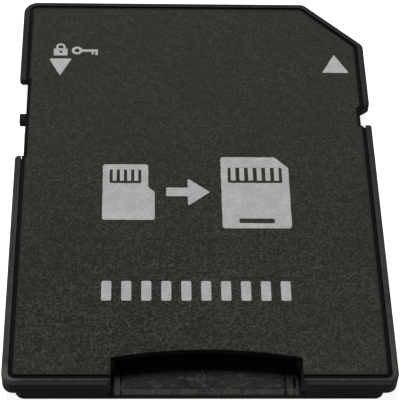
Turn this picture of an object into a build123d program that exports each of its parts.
from build123d import *
import os

os.makedirs("parts", exist_ok=True)

# Adapter that carries a small memory card in the body of a full-size memory card.
# X runs across the card and Y along it, with the slot for the small card at the low end of Y
# and the contact pads at the high end. Z points out of the label side. The origin is at the
# middle of the contact side, on its lowest face. All sizes are in millimetres.

# Full-size card body
card_width = 24.0
card_length = 32.0
card_thickness = 2.1
rail_thickness = 1.4
rail_width = 0.75
corner_cut = 4.0
far_corner_radius = 1.0
near_corner_radius = 0.7
cut_corner_radius = 0.6
inner_corner_radius = 0.45
belly_corner_radius = 0.6
rim_edge_radius = 0.18
rail_edge_chamfer = 0.12
belly_edge_chamfer = 0.15
leading_edge_chamfer = 0.35

# Label cover, let into the rim of the base shell
rim_width = 0.4
near_rim_width = 0.22
cover_gap = 0.05
cover_thickness = 0.48
cover_step_width = 0.22
cover_step_depth = 0.12
cover_edge_chamfer = 0.04
cover_notch_chamfer = 0.25

# Walls of the base shell
side_wall = 1.3
end_wall = 1.0
corner_wall = 0.6

# Small card and the channel that it slides in
small_card_width = 11.0
small_card_length = 15.0
small_card_thickness = 1.0
small_card_step = 1.3
small_card_shoulder = 6.2
card_side_gap = 0.1
card_height_gap = 0.12
card_step_gap = 0.2
card_recess = 0.2
channel_offset = 0.37
mouth_flare = 0.12
mouth_flare_length = 1.3
mouth_lip_length = 0.45
mouth_lip_rise = 0.08

# Finger cut-out of the cover over the channel
cutout_flare = 0.22
cutout_side_depth = 1.72
cutout_middle_depth = 2.3
cutout_mouth_radius = 0.2

# Strips and marks on the channel floor at the mouth
floor_strip_length = 5.0
floor_strip_rise = 0.06
left_strip_from_wall = 0.22
left_strip_width = 0.35
right_strip_from_wall = 0.17
right_strip_width = 0.77
strip_groove_width = 0.1
strip_groove_depth = 0.14
strip_slit_width = 0.18
strip_slit_length = 0.7
strip_slit_from_mouth = 0.5
strip_slit_from_wall = 0.34
ejector_mark_diameter = 2.0
ejector_mark_line = 0.1
ejector_mark_depth = 0.05
ejector_mark_from_mouth = 1.27

# Lock notch in the left side and grip notch in the right side, placed from the contact end
lock_notch_from_end = 7.65
lock_notch_length = 6.65
lock_notch_depth = 0.57
lock_notch_end_radius = 0.28
lock_undercut_length = 0.9
side_notch_from_end = 9.6
side_notch_length = 1.85
side_notch_depth = 0.72
side_notch_slant = 0.5
side_notch_far_radius = 0.25
side_notch_end_radius = 0.15
side_undercut_length = 0.75
side_lip_thickness = 0.8

# Lock slider
slider_length = 4.4
slider_width = 1.0
slider_setback = 0.52
slider_shelf = 0.22
slider_edge_chamfer = 0.08
slider_side_clearance = 0.08
slider_end_clearance = 0.06
slider_height_clearance = 0.04
tab_length = 0.68
tab_setback = 0.1
tab_top_step = 0.07
tab_from_notch_end = 2.53

# Contact pads in the far end of the contact side
pad_recess = 0.7
first_window_from_side = 1.625
last_window_from_side = 1.925
pad_seven_step = 2.425
pad_eight_step = 1.7
pad_from_end = 1.25
pad_length = 4.0
corner_pad_setback = 2.2
window_rib = 0.95
narrow_window_rib = 0.6
pad_overlap = 0.12

# Contact strips behind the pads
strip_thickness = 0.12
strip_width = 0.5
strip_neck = 0.95
fan_near_from_stop = 2.0
first_finger_from_edge = 1.0
finger_width = 0.6
finger_tip_width = 0.4
finger_length = 3.3
finger_peak_from_stop = 2.4
finger_peak_rise = 0.1
finger_tip_drop = 0.28
bridge_width = 0.6
bridge_lift = 0.4
bridge_from_pad = 0.25

# Insulating carrier round the strips
carrier_gap = 0.06
finger_well_floor = 0.15
finger_well_gap = 0.3
locating_pin_diameter = 1.0
locating_pin_gap = 0.05
locating_pin_drop = 0.15

# Pegs under the cover, in holes of the base shell beside the channel
peg_diameter = 0.9
peg_length = 0.6
peg_gap = 0.04
peg_end_gap = 0.1
near_peg_from_mouth = 2.8
middle_peg_from_mouth = 10.4
far_peg_from_mouth = 16.9

# Levels and places worked out from the sizes above
half_width = card_width / 2
half_length = card_length / 2
rail_z = card_thickness - rail_thickness
cover_z = card_thickness - cover_thickness
floor_z = cover_z - small_card_thickness - card_height_gap
strip_z = pad_recess + strip_thickness
carrier_top_z = cover_z - carrier_gap
channel_left = channel_offset - small_card_width / 2 - card_side_gap
channel_right = channel_offset + small_card_width / 2 + card_side_gap
cutout_left = channel_left - cutout_flare
cutout_right = channel_right + cutout_flare
mouth_y = -half_length
stop_y = mouth_y + card_recess + small_card_length
pad_end_y = half_length - pad_from_end
fan_far_y = pad_end_y - pad_length - strip_neck
fan_near_y = stop_y + fan_near_from_stop
lock_far_y = half_length - lock_notch_from_end
lock_near_y = lock_far_y - lock_notch_length
side_far_y = half_length - side_notch_from_end
side_near_y = side_far_y - side_notch_length
slider_x = slider_setback - half_width
slider_y = lock_far_y - tab_from_notch_end
slider_bottom_z = rail_z + slider_shelf
unlock_travel = tab_from_notch_end - slider_end_clearance
lock_travel = lock_notch_length - tab_from_notch_end - tab_length - slider_end_clearance

# Windows of the pads, seven at an even pitch from the cut corner and two narrow ones.
# The even ones take up six and a half pitches, less half a rib.
narrow_window_width = pad_eight_step - narrow_window_rib
narrow_side = last_window_from_side + narrow_window_width / 2 + pad_eight_step + pad_seven_step
pad_pitch = (card_width - first_window_from_side - narrow_side + window_rib / 2) / 6.5
window_width = pad_pitch - window_rib

# Fingers at an even pitch across the narrow end of the small card
finger_row_width = small_card_width - small_card_step - 2 * first_finger_from_edge
finger_row_x = channel_offset - small_card_step / 2
finger_pitch = finger_row_width / 7

# Pads from the cut corner onwards, and the finger that each one leads to
pad_names = [
    "data_2",
    "data_3",
    "command",
    "second_ground",
    "supply",
    "clock",
    "ground",
    "data_0",
    "data_1",
]
first_pad_x = half_width - first_window_from_side - window_width / 2
pad_steps = [0.0] + [pad_pitch] * 6 + [pad_seven_step, pad_eight_step]
pad_x = {
    name: first_pad_x - sum(pad_steps[: place + 1]) for place, name in enumerate(pad_names)
}
finger_names = [name for name in pad_names if name != "second_ground"]
finger_x = {
    name: finger_row_x + finger_row_width / 2 - place * finger_pitch
    for place, name in enumerate(finger_names)
}


def block(x0, x1, y0, y1, z0, z1):
    """Box between two corners."""
    middle = Pos((x0 + x1) / 2, (y0 + y1) / 2, (z0 + z1) / 2)
    return middle * Box(x1 - x0, y1 - y0, z1 - z0)


def post(x, y, diameter, z0, z1):
    """Upright round post."""
    return Pos(x, y, (z0 + z1) / 2) * Cylinder(diameter / 2, z1 - z0)


def flat(*points):
    """Flat face inside a ring of points."""
    return make_face(Polyline(*points, close=True))


def raised(face, z0, z1):
    """Prism over a flat face, from one height to another."""
    return extrude(Pos(0, 0, z0) * face, amount=z1 - z0)


def round_corner(face, x, y, radius):
    """Round the corner of a flat face that is nearest to a point."""
    return fillet(face.vertices().sort_by_distance((x, y, 0))[0], radius)


def bevel_corner(face, x, y, size):
    """Chamfer the corner of a flat face that is nearest to a point."""
    return chamfer(face.vertices().sort_by_distance((x, y, 0))[0], size)


def card_outline(inset, near_inset):
    """Plan of the card with its cut corner, moved inwards. The near end has its own inset."""
    x = half_width - inset
    y = half_length - inset
    leg = corner_cut + inset * (2**0.5 - 1)
    cut_side_y = half_length - leg
    cut_end_x = half_width - leg
    near_radius = max(near_corner_radius - inset, inner_corner_radius)
    far_radius = max(far_corner_radius - inset, inner_corner_radius)
    near_y = near_inset - half_length
    face = flat((-x, near_y), (x, near_y), (x, cut_side_y), (cut_end_x, y), (-x, y))
    face = round_corner(face, -x, near_y, near_radius)
    face = round_corner(face, x, near_y, near_radius)
    face = round_corner(face, x, cut_side_y, cut_corner_radius)
    face = round_corner(face, cut_end_x, y, cut_corner_radius)
    return round_corner(face, -x, y, far_radius)


def lock_notch():
    """Plan of the notch that the tab of the lock slider moves in."""
    floor_x = lock_notch_depth - half_width
    return flat(
        (-card_width, lock_near_y),
        (floor_x, lock_near_y),
        (floor_x, lock_far_y),
        (-card_width, lock_far_y),
    )


def side_notch():
    """Plan of the grip notch, with a slanted far end."""
    floor_x = half_width - side_notch_depth
    return flat(
        (card_width, side_far_y),
        (half_width, side_far_y),
        (floor_x, side_far_y - side_notch_slant),
        (floor_x, side_near_y),
        (card_width, side_near_y),
    )


def base_plan():
    """Plan of the base shell, with the rim's ends rounded at both notches."""
    face = card_outline(0, 0) - lock_notch() - side_notch()
    face = round_corner(face, -half_width, lock_far_y, lock_notch_end_radius)
    face = round_corner(face, -half_width, lock_near_y, lock_notch_end_radius)
    face = round_corner(face, half_width, side_far_y, side_notch_far_radius)
    return round_corner(face, half_width, side_near_y, side_notch_end_radius)


def cover_plan():
    """Plan of the cover, cut back at both notches."""
    edge_x = half_width - rim_width - cover_gap
    face = card_outline(rim_width + cover_gap, near_rim_width + cover_gap)
    face -= lock_notch() + side_notch()
    return bevel_corner(face, edge_x, side_near_y, cover_notch_chamfer)


def panel_plan():
    """Plan of the raised label panel, set back from the edge of the cover by the step."""
    return offset(cover_plan(), amount=-cover_step_width, kind=Kind.INTERSECTION)


def finger_cutout():
    """Plan of the arched cut-out that bares the end of the small card."""
    arc_y = mouth_y + cutout_mouth_radius
    side_y = mouth_y + cutout_side_depth
    middle_y = mouth_y + cutout_middle_depth
    outside_y = mouth_y - end_wall
    left = cutout_left - cutout_mouth_radius
    right = cutout_right + cutout_mouth_radius
    arch = ThreePointArc((cutout_left, side_y), (channel_offset, middle_y), (cutout_right, side_y))
    right_side = Line((cutout_right, side_y), (cutout_right, arc_y))
    right_round = RadiusArc((cutout_right, arc_y), (right, mouth_y), cutout_mouth_radius)
    outside = Polyline((right, mouth_y), (right, outside_y), (left, outside_y), (left, mouth_y))
    left_round = RadiusArc((left, mouth_y), (cutout_left, arc_y), cutout_mouth_radius)
    left_side = Line((cutout_left, arc_y), (cutout_left, side_y))
    pieces = [arch, right_side, right_round, outside, left_round, left_side]
    return make_face([edge for piece in pieces for edge in piece.edges()])


def channel():
    """Plan of the small card's channel, with a key for its stepped side."""
    outside_y = mouth_y - end_wall
    flare_y = mouth_y + mouth_flare_length
    key_x = channel_right - card_side_gap - small_card_step + card_step_gap
    key_y = stop_y - small_card_shoulder
    return flat(
        (channel_left - mouth_flare, outside_y),
        (channel_right + mouth_flare, outside_y),
        (channel_right + mouth_flare, mouth_y),
        (channel_right, flare_y),
        (channel_right, key_y),
        (key_x, key_y + channel_right - key_x),
        (key_x, stop_y),
        (channel_left, stop_y),
        (channel_left, flare_y),
        (channel_left - mouth_flare, mouth_y),
    )


def carrier_plan(gap):
    """Plan of the carrier, which follows the fan of strips, widened by a gap."""
    side_x = half_width - side_wall - carrier_gap + gap
    far_y = pad_end_y + gap
    front_y = stop_y - gap
    front_left = channel_left + carrier_gap - gap
    front_right = channel_right - carrier_gap + gap
    slant = corner_cut + (corner_wall + carrier_gap - gap) * 2**0.5
    return flat(
        (front_left, front_y),
        (front_right, front_y),
        (front_right, fan_near_y - gap),
        (side_x, fan_far_y - corner_pad_setback - gap),
        (side_x, half_length + half_width - slant - side_x),
        (half_length + half_width - slant - far_y, far_y),
        (-side_x, far_y),
        (-side_x, fan_far_y - gap),
        (front_left, fan_near_y - gap),
    )


def pad_far_y(name):
    """Far end of a pad. The pad beside the cut corner is set back."""
    return pad_end_y - corner_pad_setback if name == "data_2" else pad_end_y


def pad_window_width(name):
    """Width of a pad's window. The last two are narrow."""
    return narrow_window_width if name in ("data_0", "data_1") else window_width


def locating_pins(diameter, z0, z1):
    """Pins that pass through the carrier, clear of the strips."""
    ear_x = (channel_right + finger_x["data_2"] + finger_width / 2) / 2
    ear_y = (stop_y + fan_near_y) / 2
    gap_x = pad_x["second_ground"] - strip_width
    gap_y = fan_far_y - 1.5 * locating_pin_diameter
    return post(ear_x, ear_y, diameter, z0, z1) + post(gap_x, gap_y, diameter, z0, z1)


def peg_places():
    """Places of the cover's pegs, in the middle of the solid sides beside the channel."""
    left_x = (slider_x + slider_width + channel_left) / 2
    right_x = (channel_right + half_width - side_wall) / 2
    return [
        (x, mouth_y + from_mouth)
        for x in (left_x, right_x)
        for from_mouth in (near_peg_from_mouth, middle_peg_from_mouth, far_peg_from_mouth)
    ]


def outer_body():
    """Body before it is hollowed: full plan above the rails, narrower belly below."""
    plate = raised(base_plan(), rail_z, card_thickness)
    plate = fillet(plate.edges().group_by(Axis.Z)[-1], rim_edge_radius)
    low_sides = plate.edges().filter_by(Axis.Y).group_by(Axis.Z)[0].group_by(Axis.X)
    plate = chamfer(low_sides[0] + low_sides[-1], rail_edge_chamfer)
    belly_x = half_width - rail_width
    belly_plan = card_outline(0, 0) & Rectangle(2 * belly_x, card_length)
    belly_plan = round_corner(belly_plan, -belly_x, mouth_y, belly_corner_radius)
    belly_plan = round_corner(belly_plan, belly_x, mouth_y, belly_corner_radius)
    belly = raised(belly_plan, 0, rail_z + rail_edge_chamfer)
    leading_edge = belly.edges().filter_by(Axis.X).group_by(Axis.Z)[0].sort_by(Axis.Y)[-1]
    belly = chamfer(leading_edge, leading_edge_chamfer)
    other_edges = belly.edges().group_by(Axis.Z)[0].sort_by(Axis.Y)[:-1]
    return plate + chamfer(other_edges, belly_edge_chamfer)


def notch_undercuts():
    """Both notches reach further under the rim at their far ends."""
    lock_cut = raised(Pos(0, lock_undercut_length) * lock_notch(), 0, cover_z)
    side_top = card_thickness - side_lip_thickness
    return [lock_cut, raised(Pos(0, side_undercut_length) * side_notch(), 0, side_top)]


def slider_pocket():
    """Room for the slider's body over its whole travel."""
    near_y = slider_y - slider_length - lock_travel - slider_end_clearance
    left = slider_x - slider_side_clearance
    right = slider_x + slider_width + slider_side_clearance
    return block(left, right, near_y, lock_far_y, slider_bottom_z, cover_z)


def floor_strips():
    """Low strips along both sides of the channel floor, which the small card rides on."""
    end_y = mouth_y + floor_strip_length
    low = floor_z - strip_groove_depth
    high = floor_z + floor_strip_rise
    left = cutout_left + left_strip_from_wall
    right = cutout_right - right_strip_from_wall
    strips = block(left, left + left_strip_width, mouth_y, end_y, low, high)
    return strips + block(right - right_strip_width, right, mouth_y, end_y, low, high)


def floor_grooves():
    """Fine grooves on both sides of the strips, the slit in the right one and the ejector mark."""
    end_y = mouth_y + floor_strip_length
    side_y = mouth_y + cutout_side_depth
    low = floor_z - strip_groove_depth
    high = floor_z + floor_strip_rise
    left_outer = cutout_left + left_strip_from_wall
    left_inner = left_outer + left_strip_width
    right_outer = cutout_right - right_strip_from_wall
    right_inner = right_outer - right_strip_width
    slit_x = cutout_right - strip_slit_from_wall
    slit_y = mouth_y + strip_slit_from_mouth
    mark_y = mouth_y + ejector_mark_from_mouth
    mark_inner = ejector_mark_diameter - 2 * ejector_mark_line
    mark = post(0, mark_y, ejector_mark_diameter, floor_z - ejector_mark_depth, floor_z)
    mark -= post(0, mark_y, mark_inner, floor_z - ejector_mark_depth, floor_z)
    return [
        block(cutout_left, left_outer, mouth_y, side_y, low, high),
        block(left_inner, left_inner + strip_groove_width, mouth_y, end_y, low, high),
        block(right_inner - strip_groove_width, right_inner, mouth_y, end_y, low, high),
        block(right_outer, cutout_right, mouth_y, side_y, low, high),
        block(slit_x - strip_slit_width, slit_x, slit_y, slit_y + strip_slit_length, low, high),
        mark,
    ]


def mouth_lip():
    """Low lip along the front of the channel floor, between the strips."""
    left = cutout_left + left_strip_from_wall + left_strip_width + strip_groove_width
    right = cutout_right - right_strip_from_wall - right_strip_width - strip_groove_width
    high = floor_z + mouth_lip_rise
    lip = block(left, right, mouth_y, mouth_y + mouth_lip_length, floor_z - strip_groove_depth, high)
    return chamfer(lip.edges().filter_by(Axis.X).group_by(Axis.Z)[-1], mouth_lip_rise / 2)


def pad_windows():
    """Windows in the belly, open at the leading edge, one for each pad."""
    windows = []
    for name in pad_names:
        x = pad_x[name]
        half = pad_window_width(name) / 2
        rear_y = pad_far_y(name) - pad_length + pad_overlap
        windows.append(block(x - half, x + half, rear_y, card_length, -pad_recess, pad_recess))
    return windows


def finger_well():
    """Recess in the channel floor that the spring fingers bend down into."""
    reach = finger_width / 2 + finger_well_gap
    left = finger_x["data_1"] - reach
    right = finger_x["data_2"] + reach
    near_y = stop_y - finger_length - finger_well_gap
    return block(left, right, near_y, stop_y - carrier_gap, finger_well_floor, cover_z)


def base_shell():
    """Contact-side shell: rim, rails, belly, channel, peg holes and pad windows."""
    shell = outer_body()
    shell -= raised(card_outline(rim_width, near_rim_width), cover_z, card_thickness)
    shell -= raised(finger_cutout(), floor_z, card_thickness)
    shell -= raised(channel(), floor_z, cover_z)
    shell -= raised(carrier_plan(carrier_gap), pad_recess, cover_z)
    shell -= slider_pocket()
    shell -= notch_undercuts()
    shell -= finger_well()
    shell += floor_strips()
    shell -= floor_grooves()
    shell += mouth_lip()
    shell -= pad_windows()
    shell += locating_pins(locating_pin_diameter, floor_z, carrier_top_z - locating_pin_drop)
    hole_diameter = peg_diameter + 2 * peg_gap
    hole_z = cover_z - peg_length - peg_end_gap
    for x, y in peg_places():
        shell -= post(x, y, hole_diameter, hole_z, cover_z)
    return shell


def label_cover():
    """Label-side plate with a raised panel, the finger cut-out and pegs underneath."""
    panel = raised(panel_plan(), cover_z, card_thickness)
    panel = chamfer(panel.edges().group_by(Axis.Z)[-1], cover_edge_chamfer)
    cover = raised(cover_plan(), cover_z, card_thickness - cover_step_depth) + panel
    cover -= raised(finger_cutout(), 0, card_thickness)
    for x, y in peg_places():
        cover += post(x, y, peg_diameter, cover_z - peg_length, card_thickness - cover_thickness / 2)
    return cover


def lock_slider():
    """Slider with the tab that shows in the notch, where the photographed one stands."""
    low = slider_bottom_z + slider_height_clearance
    high = cover_z - slider_height_clearance
    near_y = slider_y - slider_length
    body = block(slider_x, slider_x + slider_width, near_y, slider_y, low, high)
    body = chamfer(body.edges().filter_by(Axis.Z), slider_edge_chamfer)
    tab_x = tab_setback - half_width
    inner_x = slider_x + 2 * slider_edge_chamfer
    return body + block(tab_x, inner_x, slider_y - tab_length, slider_y, low, high - tab_top_step)


def pad_plate(name):
    """Pad that covers its window from inside."""
    half = pad_window_width(name) / 2 + pad_overlap
    x = pad_x[name]
    far_y = pad_far_y(name)
    return block(x - half, x + half, far_y - pad_length, far_y, pad_recess, strip_z)


def strip_tail(name):
    """Narrow strip that runs from the pad to its place in the finger row."""
    half = strip_width / 2
    pad_y = pad_far_y(name) - pad_length
    centre_line = [
        (pad_x[name], pad_y + half),
        (pad_x[name], pad_y - strip_neck),
        (finger_x[name], fan_near_y),
        (finger_x[name], stop_y),
    ]
    left = [(x - half, y) for x, y in centre_line]
    right = [(x + half, y) for x, y in reversed(centre_line)]
    return raised(flat(*left, *right), pad_recess, strip_z)


def finger(name):
    """Spring finger that rises a little over the floor and dips at its free end."""
    root_y = stop_y + strip_width
    peak_y = stop_y - finger_peak_from_stop
    tip_y = stop_y - finger_length
    lower = [
        (root_y, pad_recess),
        (stop_y, pad_recess),
        (peak_y, pad_recess + finger_peak_rise),
        (tip_y, pad_recess - finger_tip_drop),
    ]
    upper = [(y, z + strip_thickness) for y, z in reversed(lower)]
    profile = Plane.YZ * flat(*lower, *upper)
    half = finger_width / 2
    half_tip = finger_tip_width / 2
    plan = flat(
        (-half, root_y),
        (-half, peak_y),
        (-half_tip, tip_y),
        (half_tip, tip_y),
        (half, peak_y),
        (half, root_y),
    )
    spring = extrude(profile, amount=half, both=True) & raised(plan, 0, card_thickness)
    return Pos(finger_x[name], 0, 0) * spring


def contact_strip(name):
    """One stamped strip: pad, tail and spring finger."""
    return pad_plate(name) + strip_tail(name) + finger(name)


def ground_strip():
    """Ground strip with a raised bridge over two other strips to its second pad."""
    far_y = pad_end_y - pad_length - bridge_from_pad
    near_y = far_y - bridge_width
    left = pad_x["ground"] - strip_width / 2
    right = pad_x["second_ground"] + strip_width / 2
    high = strip_z + bridge_lift
    top = high + strip_thickness
    bar = block(left, right, near_y, far_y, high, top)
    left_leg = block(left, left + strip_thickness, near_y, far_y, pad_recess, top)
    right_leg = block(right - strip_thickness, right, near_y, far_y, pad_recess, top)
    stub_y = pad_end_y - pad_length + strip_width / 2
    stub = block(right - strip_width, right, near_y, stub_y, pad_recess, strip_z)
    return contact_strip("ground") + pad_plate("second_ground") + stub + left_leg + bar + right_leg


def contact_carrier(strips):
    """Insulating block moulded round the strips, with holes for the locating pins."""
    carrier = raised(carrier_plan(0), pad_recess, carrier_top_z)
    carrier -= locating_pins(locating_pin_diameter + 2 * locating_pin_gap, 0, card_thickness)
    return carrier - strips


strips = {
    "contact_" + name: ground_strip() if name == "ground" else contact_strip(name)
    for name in finger_names
}
nodes = {
    "base_shell": base_shell(),
    "label_cover": label_cover(),
    "lock_slider": lock_slider(),
    "contact_carrier": contact_carrier(list(strips.values())),
    **strips,
}
for name, node in nodes.items():
    export_step(node, f"parts/{name}.step")
    print(name, len(node.solids()), "solid", round(node.volume, 3), "mm3")
print("slider travel", round(-lock_travel, 3), "to", round(unlock_travel, 3), "mm")
